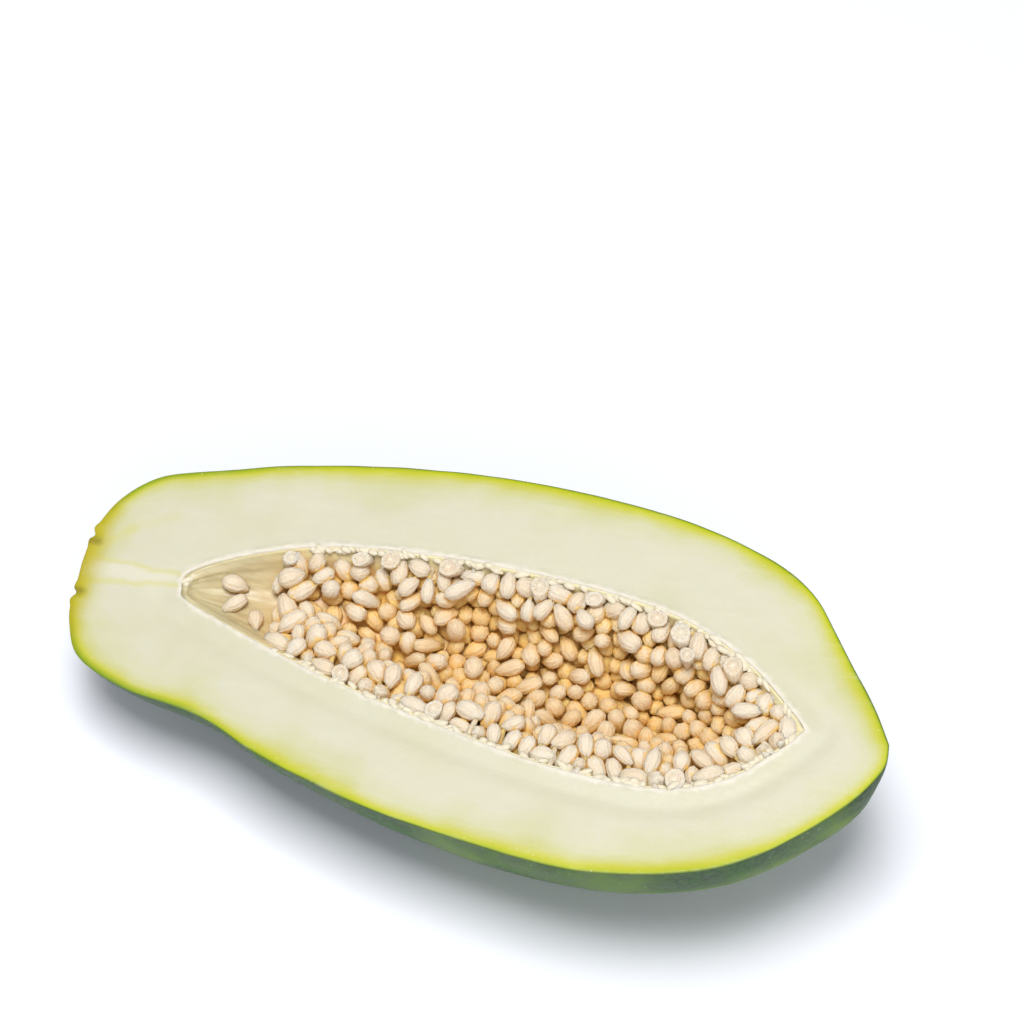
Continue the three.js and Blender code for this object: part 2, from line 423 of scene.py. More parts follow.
def cut_relief(point, skin_gap, hollow_gap):
    """How far the cut face stands above the knife's plane at a point."""
    inland = smooth_step(min(skin_gap, hollow_gap), 0.0, INLAND)
    near_side = smooth_step(-point.y, *NEAR_SIDE)
    lumps = LUMP_MEAN + LUMP_SPREAD * noise.noise(point / LUMP_SIZE)
    height = WAVE_HEIGHT * inland * noise.noise(point / WAVE_SIZE)
    height += GRAIN_HEIGHT * inland * noise.noise(point / GRAIN_SIZE)
    height += RIM_HEIGHT * lumps * bell(hollow_gap, RIM_MIDDLE, RIM_WIDTH)
    height -= TROUGH_DEPTH * near_side * bell(hollow_gap, TROUGH_MIDDLE, TROUGH_WIDTH)
    height -= EDGE_DROP * max(0.0, 1 - skin_gap / EDGE_ROUND) ** 2
    return height


for vert in on_cut:
    vert.co.z += cut_relief(vert.co, vert[from_skin], vert[from_hollow])
print("cut face relief:", round(max(v.co.z for v in on_cut) - min(v.co.z for v in on_cut), 5))

# %% [markdown]
# Mixing materials
#
# A material is a small graph of nodes. Building one by hand takes a line for each node and link, so a
# helper adds the nodes and wires them up. Colours are given as they look on a screen, from 0 to 255,
# and turned into the linear light that a renderer works in.

# %% Screen colours


def linear(colour):
    """Linear light, with alpha, for a screen colour. A node's socket gives it already."""
    if isinstance(colour, bpy.types.NodeSocket):
        return colour
    shares = [value / 255 for value in colour]
    light = [part / 12.92 if part <= 0.04045 else ((part + 0.055) / 1.055) ** 2.4 for part in shares]
    return (*light, 1.0)


CREAM = (230, 228, 190)
print("cream on a screen is", [round(value, 3) for value in linear(CREAM)], "in linear light")

# %% A finish in the making


class Finish:
    """A material in the making. Each method adds a node and gives the socket that it fills."""

    def __init__(self, name):
        self.material = bpy.data.materials.new(name)
        self.material.use_nodes = True
        self.nodes = self.material.node_tree.nodes
        self.links = self.material.node_tree.links
        self.shader = self.nodes["Principled BSDF"]
        self.place = self.add("ShaderNodeTexCoord").outputs["Object"]

    def add(self, kind, inputs=None, **settings):
        node = self.nodes.new(kind)
        for key, value in settings.items():
            setattr(node, key, value)
        self.fill(node, inputs or {})
        return node

    def fill(self, node, inputs):
        for key, value in inputs.items():
            if isinstance(value, bpy.types.NodeSocket):
                self.links.new(value, node.inputs[key])
            else:
                node.inputs[key].default_value = value

    def surface(self, **inputs):
        """Fills the shader's own sockets, named with underscores for spaces."""
        self.fill(self.shader, {key.replace("_", " "): value for key, value in inputs.items()})

    def attribute(self, name, output="Fac"):
        return self.add("ShaderNodeAttribute", attribute_name=name).outputs[output]

    def lengthwise(self, scale):
        """The place with the cut face level, scaled along the fruit to stretch a pattern."""
        inputs = {"Vector": self.place, "Scale": (scale, 1, 1), "Rotation": (0, LEAN, 0)}
        return self.add("ShaderNodeMapping", inputs).outputs["Vector"]

    def noise(self, size, detail=2.0, rough=0.5, warp=0.0, place=None):
        inputs = {
            "Vector": place or self.place,
            "Scale": 1 / size,
            "Detail": detail,
            "Roughness": rough,
            "Distortion": warp,
        }
        return self.add("ShaderNodeTexNoise", inputs).outputs["Fac"]

    def dots(self, size):
        inputs = {"Vector": self.place, "Scale": 1 / size}
        return self.add("ShaderNodeTexVoronoi", inputs).outputs["Distance"]

    def spread(self, value, low, high, to_low=0.0, to_high=1.0, smooth=True):
        inputs = {0: value, 1: low, 2: high, 3: to_low, 4: to_high}
        kind = "SMOOTHSTEP" if smooth else "LINEAR"
        return self.add("ShaderNodeMapRange", inputs, interpolation_type=kind).outputs["Result"]

    def sums(self, operation, one, other=0.0):
        return self.add("ShaderNodeMath", {0: one, 1: other}, operation=operation).outputs[0]

    def vector(self, operation, *values):
        """A sum of vectors, or a number where the sum gives one."""
        outputs = self.add("ShaderNodeVectorMath", dict(enumerate(values)), operation=operation).outputs
        return outputs["Value" if operation in ("DOT_PRODUCT", "DISTANCE", "LENGTH") else "Vector"]

    def blend(self, share, one, other, kind="MIX"):
        inputs = {"Factor": share, 6: linear(one), 7: linear(other)}
        return self.add("ShaderNodeMix", inputs, data_type="RGBA", blend_type=kind).outputs[2]

    def ramp(self, value, *stops):
        node = self.add("ShaderNodeValToRGB", {"Fac": value})
        elements = node.color_ramp.elements
        while len(elements) < len(stops):
            elements.new(0.5)
        for element, (position, colour) in zip(elements, stops):
            element.position = position
            element.color = linear(colour)
        return node.outputs["Color"]

    def bump(self, height, distance, strength=1.0, normal=None):
        inputs = {"Height": height, "Distance": distance, "Strength": strength}
        if normal:
            inputs["Normal"] = normal
        return self.add("ShaderNodeBump", inputs).outputs["Normal"]

    def rough(self, pattern, smoothest, roughest):
        """Roughness that follows a pattern of noise."""
        return self.spread(pattern, 0.3, 0.7, smoothest, roughest)


print("a finish can add:", [name for name in vars(Finish) if not name.startswith("_")])

# %% [markdown]
# Green skin
#
# The skin of an unripe papaya is deep green with a grey-blue bloom, mottled darker, and yellower in
# broad clouds where it has begun to turn. Noise of three sizes gives the clouds, the mottling and a
# fine grain. Pale pores and a few darker dots come from Voronoi cells, which are separate points and
# so look like pores where noise would look like smoke. A thin coat gives the waxy gloss.

# %% Skin finish
SKIN_CLOUDS, SKIN_BLOOM, SKIN_MOTTLE, SKIN_GRAIN = 0.060, 0.028, 0.011, 0.0016
PORES, SPOTS = 0.0036, 0.019
BARK_DEPTH = 0.020


def make_skin_finish():
    skin = Finish("green_skin")
    clouds = skin.noise(SKIN_CLOUDS, detail=3.0, rough=0.55, warp=0.4)
    mottle = skin.noise(SKIN_MOTTLE, detail=5.0, rough=0.62, warp=0.6)
    grain = skin.noise(SKIN_GRAIN, detail=3.0, rough=0.6)
    deep = skin.blend(skin.spread(mottle, 0.36, 0.66), (24, 60, 18), (52, 96, 32))
    turning = skin.blend(skin.spread(mottle, 0.34, 0.62), (80, 116, 30), (122, 150, 46))
    colour = skin.blend(skin.spread(clouds, 0.47, 0.68), deep, turning)
    bloom = skin.spread(skin.noise(SKIN_BLOOM), 0.42, 0.72, 0.0, 0.2)
    colour = skin.blend(bloom, colour, (88, 118, 82))
    colour = skin.blend(skin.spread(grain, 0.42, 0.68, 0.0, 0.45), colour, (88, 130, 62))
    pores = skin.spread(skin.dots(PORES), 0.05, 0.12, 0.55, 0.0)
    colour = skin.blend(pores, colour, (176, 194, 122))
    spots = skin.spread(skin.dots(SPOTS), 0.022, 0.04, 0.6, 0.0)
    colour = skin.blend(spots, colour, (44, 66, 30))
    scar = skin.attribute("scar_gap")
    bark = skin.ramp(
        skin.spread(scar, 0.0, BARK_DEPTH, smooth=False),
        (0.0, (196, 160, 96)), (0.34, (168, 146, 70)), (0.42, (96, 66, 34)),
        (0.50, (70, 50, 28)), (0.60, (128, 104, 62)), (0.72, (122, 128, 62)),
    )
    edge = skin.sums("ADD", scar, skin.spread(mottle, 0.3, 0.7, -0.0012, 0.0012))
    colour = skin.blend(skin.spread(edge, 0.0112, 0.0150, 1.0, 0.0), colour, bark)
    uneven = skin.bump(grain, 0.00016, 0.6, skin.bump(mottle, 0.0008, 0.5))
    skin.surface(
        Base_Color=colour, Roughness=skin.rough(mottle, 0.44, 0.60),
        Subsurface_Weight=0.06, Subsurface_Scale=0.002,
        Specular_IOR_Level=0.22, Coat_Weight=0.03, Coat_Roughness=0.3,
        Normal=skin.bump(pores, 0.00012, 0.5, uneven),
    )
    return skin.material


green_skin = make_skin_finish()
print("skin nodes:", len(green_skin.node_tree.nodes))

# %% [markdown]
# Cut flesh
#
# The knife shows a thin dark line of skin, a bright yellow-green layer under it, and flesh that fades
# to pale cream. All of that follows the distance to the skin, so one colour ramp over the attribute
# gives it, with a little noise in the distance so that the layers waver. The rim round the hollow is
# paler. In the neck each vein is a straight line, and vector nodes work out how far a point lies from
# it. Light goes into wet flesh and comes out again, which subsurface scattering does.

# %% Veins in the neck
NOTCHES = ((-0.1114, 0.0152), (-0.1112, -0.0005))
NOTCH_REACH = 0.0024
CORE_VEINS = (
    (((-0.1110, 0.0105), (-0.0830, 0.0090)), 0.0015, 0.45),
    (((-0.1100, 0.0030), (-0.0825, 0.0062)), 0.0015, 0.45),
    (((-0.1105, 0.0120), (-0.1010, 0.0206)), 0.0028, 0.35),
    (((-0.1010, 0.0206), (-0.0900, 0.0262)), 0.0032, 0.2),
)
STEM_TINT = (-0.1125, -0.1030)
CORE = ((-0.1090, 0.0072), (-0.0840, 0.0074))
CORE_WIDTH = 0.0050
STRAY_SIZE, STRAY = 0.00625, 0.0012


def draw_veins(flesh, colour, gap):
    """Draws the pale core of the neck, its yellow veins and the olive tint next to the scar."""
    back = lay_down.inverted()
    level = flesh.add(
        "ShaderNodeMapping",
        {"Vector": flesh.place, "Location": back.translation, "Rotation": (0, LEAN, 0)},
    ).outputs["Vector"]
    stray = flesh.add("ShaderNodeTexNoise", {"Vector": level, "Scale": 1 / STRAY_SIZE}).outputs["Color"]
    wobble = flesh.vector("MULTIPLY_ADD", stray, (2 * STRAY, 2 * STRAY, 0.0), (-STRAY, -STRAY, 0.0))
    level = flesh.vector("ADD", level, wobble)

    def beside(line, width):
        """1 on a straight line of the level cut face, and 0 a width away."""
        start, end = (Vector((*spot, 0.0)) for spot in line)
        along = (end - start).normalized()
        reach = flesh.vector("DOT_PRODUCT", flesh.vector("SUBTRACT", level, start), along)
        inside = flesh.spread(reach, 0.0, (end - start).length, 0.0, (end - start).length, smooth=False)
        foot = flesh.vector("MULTIPLY_ADD", inside, along, start)
        return flesh.spread(flesh.vector("DISTANCE", level, foot), 0.0, width, 1.0, 0.0)

    along_x = flesh.add("ShaderNodeSeparateXYZ", {0: level}).outputs["X"]
    neck = flesh.spread(along_x, -0.10, -0.03, 0.7, 0.0)
    green = flesh.sums("MULTIPLY", neck, flesh.spread(gap, 0.0, 0.0024, 1.0, 0.0))
    colour = flesh.blend(green, colour, (116, 146, 24))
    core = flesh.sums("MULTIPLY", beside(CORE, CORE_WIDTH), 0.7)
    colour = flesh.blend(core, colour, (220, 217, 198))
    for line, width, strength in CORE_VEINS:
        vein = flesh.sums("MULTIPLY", beside(line, width), strength)
        colour = flesh.blend(vein, colour, (206, 203, 104))
    colour = flesh.blend(flesh.spread(along_x, *STEM_TINT, 0.9, 0.0), colour, (186, 171, 24))
    for notch in NOTCHES:
        patch = beside((notch, (notch[0] + 0.002, notch[1])), NOTCH_REACH)
        colour = flesh.blend(flesh.sums("MULTIPLY", patch, 0.8), colour, (138, 126, 24))
    return colour


print("veins:", len(CORE_VEINS))

# %% Flesh finish
LAYERS_DEPTH = 0.012
FLESH_CLOUDS, FLESH_FIBRES, FLESH_GRAIN = 0.022, 0.0035, 0.0011
SPECKS, RIM_LUMPS = 0.0021, 0.0030


def make_flesh_finish():
    flesh = Finish("cut_flesh")
    clouds = flesh.noise(FLESH_CLOUDS)
    fibres = flesh.noise(FLESH_FIBRES, detail=3.0, rough=0.6, place=flesh.lengthwise(0.16))
    grain = flesh.noise(FLESH_GRAIN, detail=3.0, rough=0.6)
    waver = flesh.spread(clouds, 0.3, 0.7, 0.72, 1.35)
    gap = flesh.attribute("from_skin")
    depth = flesh.sums("DIVIDE", gap, waver)
    layers = flesh.ramp(
        flesh.spread(depth, 0.0, LAYERS_DEPTH, smooth=False),
        (0.0, (60, 80, 14)), (0.018, (112, 138, 2)), (0.040, (168, 181, 2)),
        (0.085, (187, 192, 2)), (0.16, (196, 197, 74)), (0.27, (201, 201, 134)),
        (0.46, (206, 206, 169)), (1.0, (210, 208, 185)),
    )
    cloudy = flesh.spread(clouds, 0.4, 0.75, 0.0, 0.3)
    colour = flesh.blend(cloudy, layers, (240, 240, 206), "MULTIPLY")
    colour = flesh.blend(flesh.spread(fibres, 0.5, 0.8, 0.0, 0.22), colour, (220, 218, 198))
    colour = draw_veins(flesh, colour, gap)
    specks = flesh.spread(flesh.dots(SPECKS), 0.05, 0.10, 0.6, 0.0)
    specks = flesh.sums("MULTIPLY", specks, flesh.spread(gap, 0.002, 0.006, 1.0, 0.0))
    colour = flesh.blend(specks, colour, (228, 228, 190))
    lumps = flesh.spread(flesh.noise(RIM_LUMPS, detail=3.0, rough=0.6), 0.3, 0.7, -0.0005, 0.0005)
    rim = flesh.sums("ADD", flesh.attribute("from_hollow"), lumps)
    colour = flesh.blend(flesh.spread(rim, 0.0003, 0.0018, 0.85, 0.0), colour, (228, 222, 208))
    flesh.surface(
        Base_Color=colour, Roughness=flesh.rough(grain, 0.46, 0.60),
        Subsurface_Weight=0.22, Subsurface_Scale=0.003, Subsurface_Radius=(1.0, 0.9, 0.5),
        Normal=flesh.bump(grain, 0.00015, 0.35, flesh.bump(fibres, 0.0004, 0.25)),
    )
    return flesh.material


cut_flesh = make_flesh_finish()
print("flesh nodes:", len(cut_flesh.node_tree.nodes))

# %% Finish the flesh piece
NO_SCAR = 1.0


def make_object(name, bm, materials):
    """Lays a mesh down on the table and makes it an object at the origin."""
    bmesh.ops.transform(bm, matrix=lay_down, verts=bm.verts)
    for vert in bm.verts:
        vert.co.z = max(vert.co.z, 0.0)
    for face in bm.faces:
        face.smooth = True
    mesh = bpy.data.meshes.new(name)
    bm.to_mesh(mesh)
    bm.free()
    for finish in materials:
        mesh.materials.append(finish)
    piece = bpy.data.objects.new(name, mesh)
    bpy.context.scene.collection.objects.link(piece)
    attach(piece, "root")
    print(name, "has", len(mesh.polygons), "faces")
    return piece


scar_layer = flesh_mesh.verts.layers.float.new("scar_gap")
for vert in flesh_mesh.verts:
    vert[scar_layer] = scar_gap(vert.co) if vert.co.x < SCAR_END else NO_SCAR
for face in flesh_mesh.faces:
    face.material_index = 0 if face in skin_faces else 1
for edge in skin_edge:
    edge.smooth = False
flesh = make_object("flesh_with_green_skin", flesh_mesh, [green_skin, cut_flesh])
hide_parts("flesh_and_skin")

# %% [markdown]
# The lining of the hollow
#
# Seeds grow from a soft, moist lining. It is bare towards the stem, where it is drawn into fine ribs,
# and lumpy where seeds hide it. It is a thin closed shell: one wrapped sphere lies against the flesh,
# a second one faces the seeds, and a bridge joins them just under the rim.

# %% Make the lining
LINING_RINGS = 130
LINING_SIDES = 96
LINING_TOP = -0.0003
LINING_SEAT = 0.0001
RIM_THICKNESS, WALL_THICKNESS = 0.0004, 0.0016
RIM_BEND = 0.25
RIBS, RIB_HEIGHT, RIB_WANDER, RIB_SHARES = 22, 0.00007, 3, (0.1, 0.42)
PULP_SIZE, PULP_HEIGHT, PULP_SHARES = 0.0045, 0.0009, (0.15, 0.4)
SMOOTH_TIP = 0.04


def lining_seat(share, angle):
    return hollow_at(share, angle, LINING_SEAT)


def lining_face(share, angle):
    """The side of the lining that the seeds grow from."""
    depth = smooth_step(abs(math.sin(angle)), 0.0, RIM_BEND)
    thickness = RIM_THICKNESS + (WALL_THICKNESS - RIM_THICKNESS) * depth
    wobble = noise.noise(Vector((share * 9, angle * 2, 0.0)))
    rib = math.sin(RIBS * angle + RIB_WANDER * wobble) * (1 - smooth_step(share, *RIB_SHARES))
    pulp = noise.noise(hollow_at(share, angle) / PULP_SIZE) * smooth_step(share, *PULP_SHARES)
    bare = depth * smooth_step(share, 0.0, SMOOTH_TIP)
    return hollow_at(share, angle, thickness + bare * (RIB_HEIGHT * rib + PULP_HEIGHT * pulp))


lining_mesh = bmesh.new()
wrap_sphere(lining_mesh, lining_seat, LINING_RINGS, LINING_SIDES)
seat_faces = set(lining_mesh.faces)
wrap_sphere(lining_mesh, lining_face, LINING_RINGS, LINING_SIDES)
bmesh.ops.reverse_faces(lining_mesh, faces=faces_besides(lining_mesh, seat_faces))
knife(lining_mesh, LINING_TOP)
bmesh.ops.bridge_loops(lining_mesh, edges=open_edges(lining_mesh))
from_stem = lining_mesh.verts.layers.float.new("from_stem")
lining_depth = lining_mesh.verts.layers.float.new("lining_depth")
for vert in lining_mesh.verts:
    vert[from_stem] = vert.co.x - HOLLOW_KEEL[0][0]
    vert[lining_depth] = -vert.co.z
print("lining is closed:", not open_edges(lining_mesh))

# %% [markdown]
# The colour of the lining
#
# The bare end is pale with faint streaks. Further from the stem the lining is painted amber, a painted
# warm shade for the light that has passed through wet tissue among the seeds, and the painted shade
# fades to pale near the cut face. Both follow attributes, the distance from the stem end and the depth
# under the cut face, because they belong to places in the fruit and not to places in space.

# %% Lining finish
BARE_LENGTH = 0.055
LINING_CLOUDS, LINING_STREAKS = 0.006, 0.0016


def make_lining_finish():
    lining = Finish("moist_lining")
    clouds = lining.noise(LINING_CLOUDS, detail=3.0, rough=0.55)
    streaks = lining.noise(LINING_STREAKS, place=lining.lengthwise(0.12))
    pale = lining.blend(lining.spread(streaks, 0.35, 0.65), (182, 165, 122), (200, 186, 146))
    # Painted warm shade: the lining among the seeds is painted amber.
    painted_amber_shade = lining.blend(lining.spread(clouds, 0.35, 0.65), (232, 170, 70), (246, 202, 112))
    stem = lining.attribute("from_stem")
    colour = lining.blend(lining.spread(stem, 0.010, BARE_LENGTH), pale, painted_amber_shade)
    # Near the cut face the painted amber shade fades to pale, so the painted shade grows with depth.
    olive = lining.spread(lining.attribute("lining_depth"), 0.0015, 0.012, 0.9, 0.0)
    olive = lining.sums("MULTIPLY", olive, lining.spread(stem, 0.012, BARE_LENGTH, 0.3, 1.0))
    colour = lining.blend(olive, colour, (232, 224, 184))
    lining.surface(
        Base_Color=colour, Roughness=lining.rough(clouds, 0.30, 0.48),
        Subsurface_Weight=0.3, Subsurface_Scale=0.003, Subsurface_Radius=(1.0, 0.6, 0.2),
        Normal=lining.bump(streaks, 0.0002, 0.25),
    )
    return lining.material


lining = make_object("hollow_lining", lining_mesh, [make_lining_finish()])
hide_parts("seed_bed")

# %% [markdown]
# Where the seeds lie
#
# Hundreds of seeds crowd the wall, and each leans where its neighbours leave room. Placed by a rule
# alone they would cut through each other, so they are settled: each seed is a pair of beads a fixed
# distance apart, and a few dozen rounds push beads of different seeds apart, keep them off the wall
# and under the knife's plane, and hold each seed near the place where it grew. The random numbers
# come from one generator with a fixed seed, so that every run gives the same papaya.

# %% A seed on the wall
import random

chance = random.Random(20261)
BEAD_SPACING = 0.0026
LOWEST_SLOPE, HIGHEST_SLOPE = 0.1, 1.1
TOP_DEPTHS = (0.0014, 0.0034)
NUDGE = 0.01


def wall_frame(share, angle):
    """The wall's point at a place, with the directions along it, round it and into the hollow."""
    root = hollow_at(share, angle)
    ahead = (hollow_at(min(share + NUDGE, 1.0), angle) - root).normalized()
    around = (hollow_at(share, angle + NUDGE) - root).normalized()
    return root, ahead, around, around.cross(ahead).normalized()


class Seed:
    """One seed: two beads, base first, and the root that it grew from."""

    def __init__(self, share, angle, height, reach):
        self.root, ahead, around, inwards = wall_frame(share, angle)
        heading = chance.uniform(0, 2 * math.pi)
        slope = chance.uniform(LOWEST_SLOPE, HIGHEST_SLOPE)
        along = ahead * math.cos(heading) + around * math.sin(heading) + inwards * slope
        along = along.normalized() * BEAD_SPACING
        middle = self.root + inwards * height
        self.base, self.tip = middle - along / 2, middle + along / 2
        self.reach = reach
        self.top = -chance.uniform(*TOP_DEPTHS)
        self.split = False


print("beads of a seed are", BEAD_SPACING, "m apart")

# %% Sow the seeds
FIRST_PITCH, FIRST_HEIGHT, FIRST_REACH = 0.0047, 0.0028, 0.0034
SECOND_PITCH, SECOND_HEIGHT, SECOND_REACH = 0.0052, 0.0072, 0.0080
FIRST_START, SECOND_START, LAST_ROOT = 0.075, 0.16, 0.99
GIRTH_PARTS = 8
ROW_STRAY, PLACE_STRAY = 0.35, 0.3
FRONT_ANGLES, BLOSSOM_SHARES = (0.3 * math.pi, 0.8 * math.pi), (0.3, 0.8)
SPARSE_SHARES, DENSE_SHARES = (0.08, 0.19), (0.2, 0.5)


def sow(pitch, height, reach, start, keep):
    """Rows of seeds over the whole wall, a pitch apart and staggered."""
    seeds = []
    length = HOLLOW_KEEL[-1][0] - HOLLOW_KEEL[0][0]
    rows = round(length / pitch)
    for row in range(rows):
        share = (row + 0.5) / rows
        arc = [hollow_at(share, math.pi * part / GIRTH_PARTS, height) for part in range(GIRTH_PARTS + 1)]
        girth = sum((other - one).length for one, other in zip(arc, arc[1:]))
        places = max(1, round(girth / pitch))
        for place in range(places):
            spot = share + chance.uniform(-ROW_STRAY, ROW_STRAY) / rows
            stray = chance.uniform(-PLACE_STRAY, PLACE_STRAY)
            angle = math.pi * (place + 0.25 + row % 2 / 2 + stray) / places
            if spot > start and chance.random() < keep(spot, angle):
                seeds.append(Seed(min(spot, LAST_ROOT), angle, height, reach))
    return seeds


def crowded(share, angle):
    """How likely a seed is to grow over others: more so towards the front rim and the blossom end."""
    return 0.45 + 0.3 * smooth_step(angle, *FRONT_ANGLES) + 0.25 * smooth_step(share, *BLOSSOM_SHARES)


def rooted(share, angle):
    """How likely a seed is to grow on the wall itself: they stand apart near the bare end."""
    return 0.2 + 0.45 * smooth_step(share, *SPARSE_SHARES) + 0.35 * smooth_step(share, *DENSE_SHARES)


seeds = sow(FIRST_PITCH, FIRST_HEIGHT, FIRST_REACH, FIRST_START, rooted)
print("seeds on the wall:", len(seeds))
seeds += sow(SECOND_PITCH, SECOND_HEIGHT, SECOND_REACH, SECOND_START, crowded)
print("with those on top:", len(seeds))

# %% [markdown]
# Seeds that the knife split
#
# Along the rim the knife went through some seeds. Each is put where the photograph shows one, as a
# length along the fruit and a distance in from the rim, and stays there while the others settle.

# %% Split seeds
SPLIT_DEPTH, SPLIT_ROOT = 0.0006, 0.003
SPLIT_RISES = (0.2, 1.6)
RIM_PARTS = 400
BACK_SPLITS = [
    (-0.056, 0.0030), (-0.036, 0.0032), (-0.028, 0.0030), (-0.011, 0.0028), (0.014, 0.0038),
    (0.030, 0.0026), (0.0475, 0.0028), (0.0555, 0.0042), (0.0605, 0.0085), (0.0715, 0.0036),
]
FRONT_SPLITS = [(-0.033, 0.0026), (-0.006, 0.0030), (0.062, 0.0030)]

back_rim, front_rim = smooth_line(HOLLOW_BACK), smooth_line(HOLLOW_FRONT)


def into_hollow(rim, share):
    """A point of the hollow's edge, with the directions along the edge and into the hollow."""
    ahead = (rim(min(share + NUDGE, 1.0)) - rim(max(share - NUDGE, 0.0))).normalized()
    side = 1 if rim is back_rim else -1
    return rim(share), ahead, Vector((ahead.y, -ahead.x)) * side


def split_seed(rim, length, gap):
    """A seed in the knife's plane, at a length along the fruit and a gap from the rim."""
    seed = Seed(0.5, math.pi / 2, FIRST_HEIGHT, FIRST_REACH)
    shares = [part / RIM_PARTS for part in range(RIM_PARTS + 1)]
    share = min(shares, key=lambda part: abs(rim(part).x - length))
    point, _, inwards = into_hollow(rim, share)
    middle = point + inwards * gap
    lean = Vector((chance.uniform(-1, 1), chance.uniform(-1, 1), chance.uniform(*SPLIT_RISES)))
    lean = lean.normalized() * BEAD_SPACING
    centre = Vector((middle.x, middle.y, -SPLIT_DEPTH))
    seed.root = Vector((point.x, point.y, -SPLIT_ROOT))
    seed.base, seed.tip = centre - lean / 2, centre + lean / 2
    seed.split = True
    return seed


split_seeds = [split_seed(back_rim, *place) for place in BACK_SPLITS]
split_seeds += [split_seed(front_rim, *place) for place in FRONT_SPLITS]
print("split seeds:", len(split_seeds))

# %% Room for a bead
from mathutils.bvhtree import BVHTree

PUSH_SHARE = 0.42
BEAD_RADIUS = 0.00228
WALL_CLEARANCE = 0.0006
WALL_RINGS, WALL_SIDES = 60, 48


def hollow_walls():
    """A tree of the hollow's surface that finds the nearest wall fast."""
    bm = bmesh.new()
    wrap_sphere(bm, hollow_at, WALL_RINGS, WALL_SIDES)
    bm.normal_update()
    tree = BVHTree.FromBMesh(bm)
    bm.free()
    return tree


def push_apart(beads, fixed):
    """One round of pushing: beads of different seeds that overlap move away from each other."""
    tree = kdtree.KDTree(len(beads))
    for index, bead in enumerate(beads):
        tree.insert(bead, index)
    tree.balance()
    moves = [Vector() for _ in beads]
    for index, bead in enumerate(beads):
        for near, other, gap in tree.find_range(bead, 2 * BEAD_RADIUS):
            if other // 2 > index // 2 and gap > 0:
                push = (near - bead) * ((2 * BEAD_RADIUS - gap) / gap * PUSH_SHARE)
                moves[other] += push * (2 if fixed[index // 2] else 1)
                moves[index] -= push * (2 if fixed[other // 2] else 1)
    for index, move in enumerate(moves):
        if not fixed[index // 2]:
            beads[index] += move


def room_at(bead, walls):
    """How much room a bead has to the wall, less than nothing if it is too near, and the way out."""
    wall, outwards, _, _ = walls.find_nearest(bead)
    return (wall - bead).dot(outwards) - BEAD_RADIUS - WALL_CLEARANCE, outwards


walls = hollow_walls()
print("room at the first seed, before settling:", round(room_at(seeds[0].base, walls)[0], 5))

# %% Settle the seeds
SETTLING_ROUNDS = 45
MOST_STRAY = 0.0012


def settle(seeds, walls):
    fixed = [seed.split for seed in seeds]
    for _ in range(SETTLING_ROUNDS):
        beads = [bead for seed in seeds for bead in (seed.base, seed.tip)]
        push_apart(beads, fixed)
        for seed, base, tip in zip(seeds, beads[::2], beads[1::2]):
            if seed.split:
                continue
            far = base - seed.root
            if far.length > seed.reach:
                base -= far * (1 - seed.reach / far.length)
            for bead in (base, tip):
                room, outwards = room_at(bead, walls)
                if room < 0:
                    bead += outwards * room
                bead.z = min(bead.z, seed.top)
            middle, along = (base + tip) / 2, (tip - base).normalized() * BEAD_SPACING
            seed.base, seed.tip = middle - along / 2, middle + along / 2


seeds = split_seeds + seeds
settle(seeds, walls)
seeds = [
    seed for seed in seeds
    if seed.split or min(room_at(seed.base, walls)[0], room_at(seed.tip, walls)[0]) > -MOST_STRAY
]
print("settled", len(seeds), "seeds")

# %% [markdown]
# One seed
#
# A fresh seed wears a soft, wrinkled coat: an egg shape that tapers to the stalk. It is a small
# sphere with few faces, because there are hundreds of them, and smooth shading rounds it. Each seed
# keeps its own coordinates as an attribute, so that the wrinkles run along it however it lies, and a
# number of its own, so that no two are quite the same colour.

# %% Small meshes that join a big one
carrier = bpy.data.meshes.new("carrier")


def seed_layers(bm):
    """The attributes that the seed coat reads. All but hidden are filled as a seed grows."""
    single, triple = bm.verts.layers.float, bm.verts.layers.float_vector
    single.new("hidden")
    return triple.new("seed_own"), single.new("seed_tint"), single.new("seed_depth")


def add_copy(bm, small):
    """Adds a small finished mesh to a big one, which is much faster than building it there."""
    small.to_mesh(carrier)
    small.free()
    bm.from_mesh(carrier)


whole_mesh = bmesh.new()
seed_layers(whole_mesh)
print("kept for each vertex of a seed:", whole_mesh.verts.layers.float.keys())

# %% Make the whole seeds
SEED_SIDES = 10
SEED_BANDS = 7
SEED_LENGTHS = (0.0060, 0.0090)
SEED_WIDTHS = (0.0041, 0.0058)
SEED_FLATS = (0.88, 1.0)
SEED_BENDS = (-0.1, 0.1)
TAPER = 0.12
POINTED, POINT_START = 1.12, -0.9
LUMP_SHARE = 0.07
DEEP = 0.030


